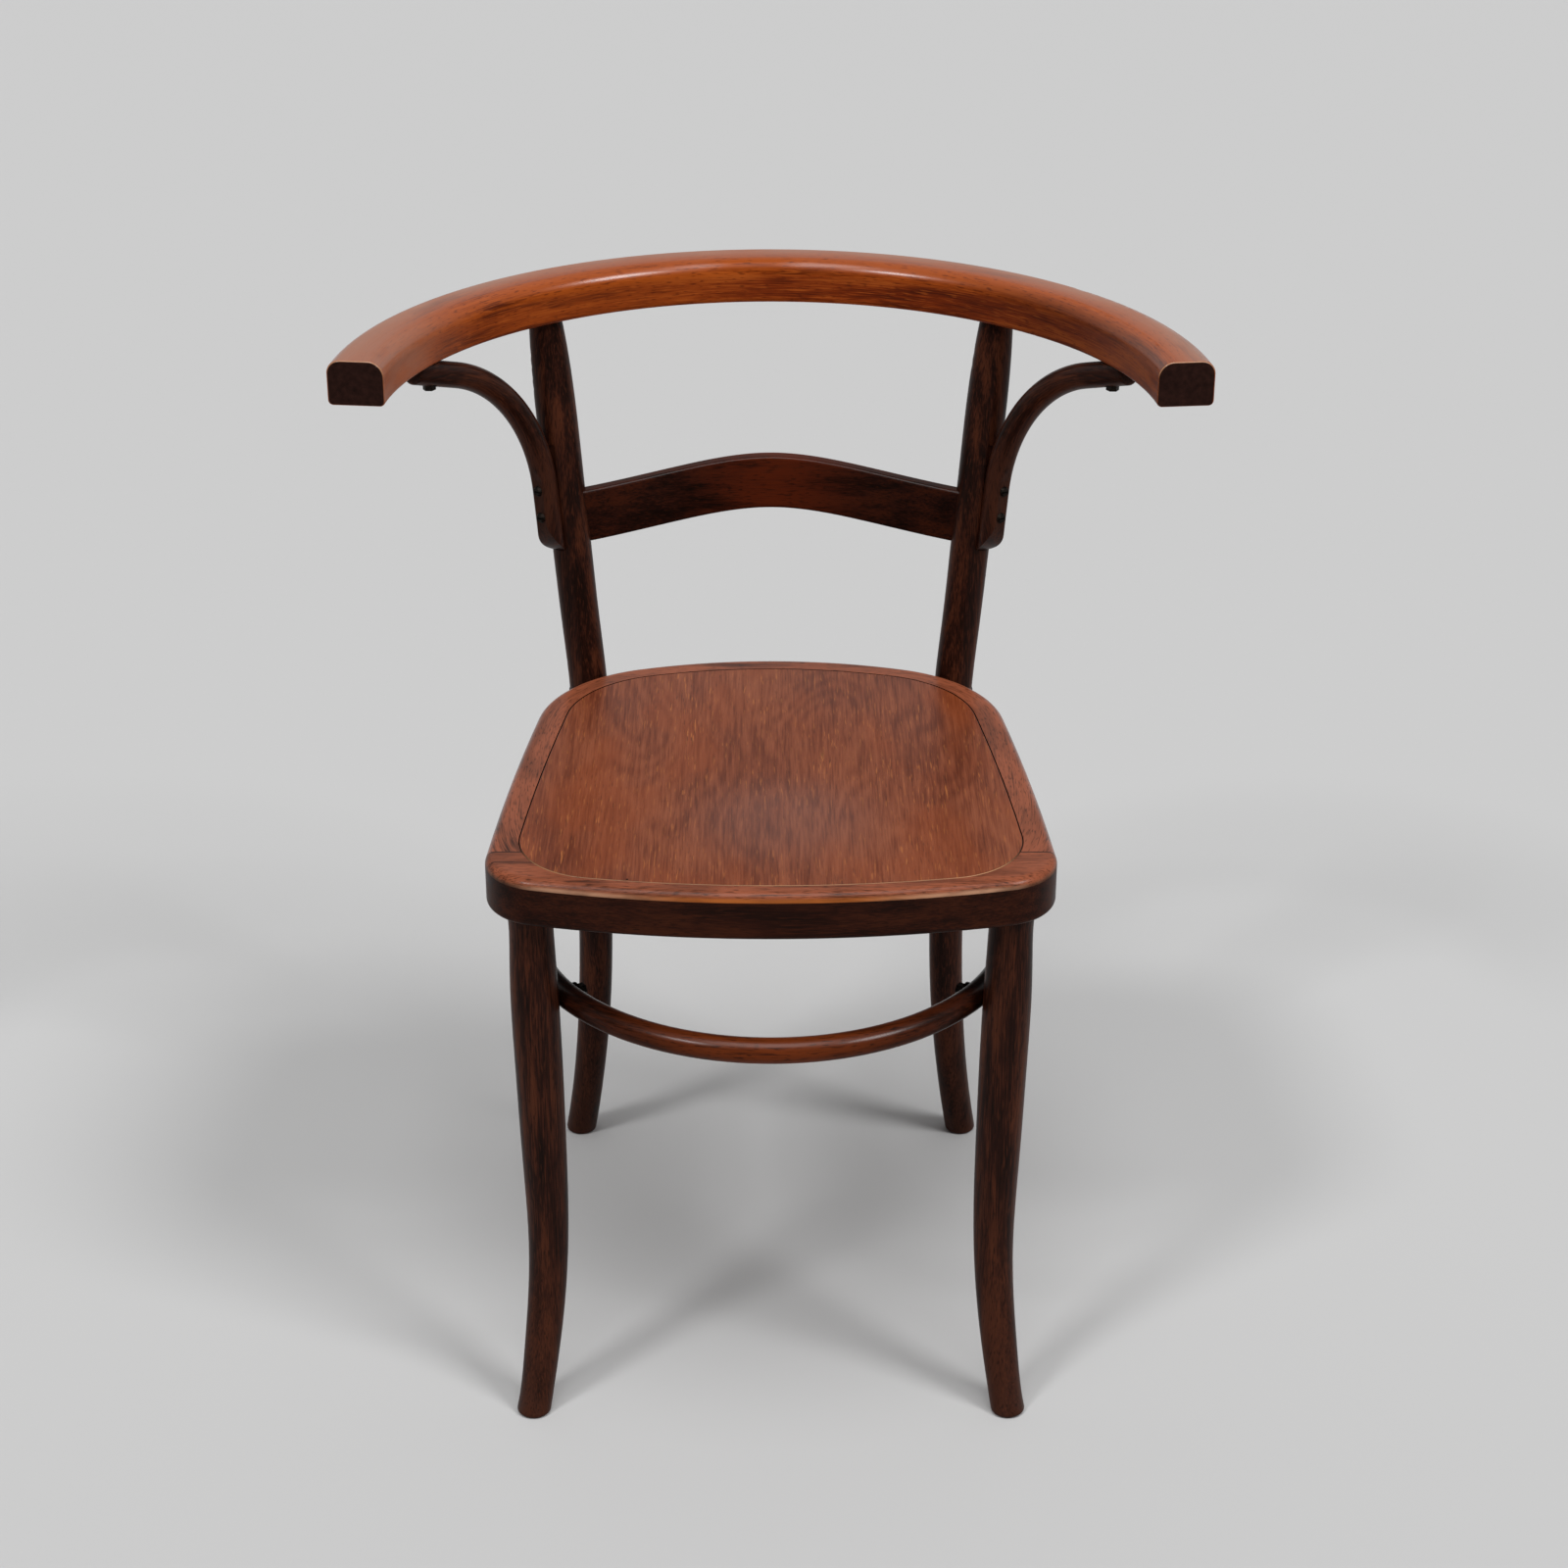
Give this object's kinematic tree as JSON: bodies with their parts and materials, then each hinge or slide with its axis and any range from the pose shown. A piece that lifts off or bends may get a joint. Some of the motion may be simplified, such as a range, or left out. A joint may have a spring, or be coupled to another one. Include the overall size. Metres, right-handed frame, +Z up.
{
  "type": "bentwood armchair",
  "caption": "Bentwood cafe armchair with a half-round arm rail, bent brackets, an arched splat, a dished wooden seat and a stretcher hoop bolted inside its legs.",
  "frame": {"origin": "on the floor, at the middle of the whole chair in plan", "axes": "+X to the right as seen from the front, +Y towards the back, +Z up; the front faces -Y"},
  "size_m": [0.6402, 0.5322, 0.78],
  "materials": {
    "rail_wood": "worn satin stain over beech",
    "dark_wood": "dark satin stain over beech",
    "frame_wood": "satin stain over beech",
    "panel_wood": "worn satin plywood",
    "dowel_wood": "bare beech",
    "black_steel": "blackened"
  },
  "bodies": {
    "root": {"arm_rail": "rail_wood", "back_post_left": "dark_wood", "back_post_right": "dark_wood", "back_splat": "dark_wood", "arm_bracket_left": "dark_wood", "arm_bracket_right": "dark_wood", "seat_hoop": "frame_wood", "seat_front_rail": "frame_wood", "seat_panel": "panel_wood", "front_leg_left": "dark_wood", "front_leg_right": "dark_wood", "stretcher_hoop": "dark_wood", "seat_frame_dowels": "dowel_wood", "bracket_rail_bolts": "black_steel", "bracket_post_screws": "black_steel", "hoop_bolts": "black_steel", "hoop_washers": "black_steel", "post_seat_bolts": "black_steel", "post_seat_washers": "black_steel", "post_seat_nuts": "black_steel", "panel_pin": "black_steel"}
  },
  "joints": []
}
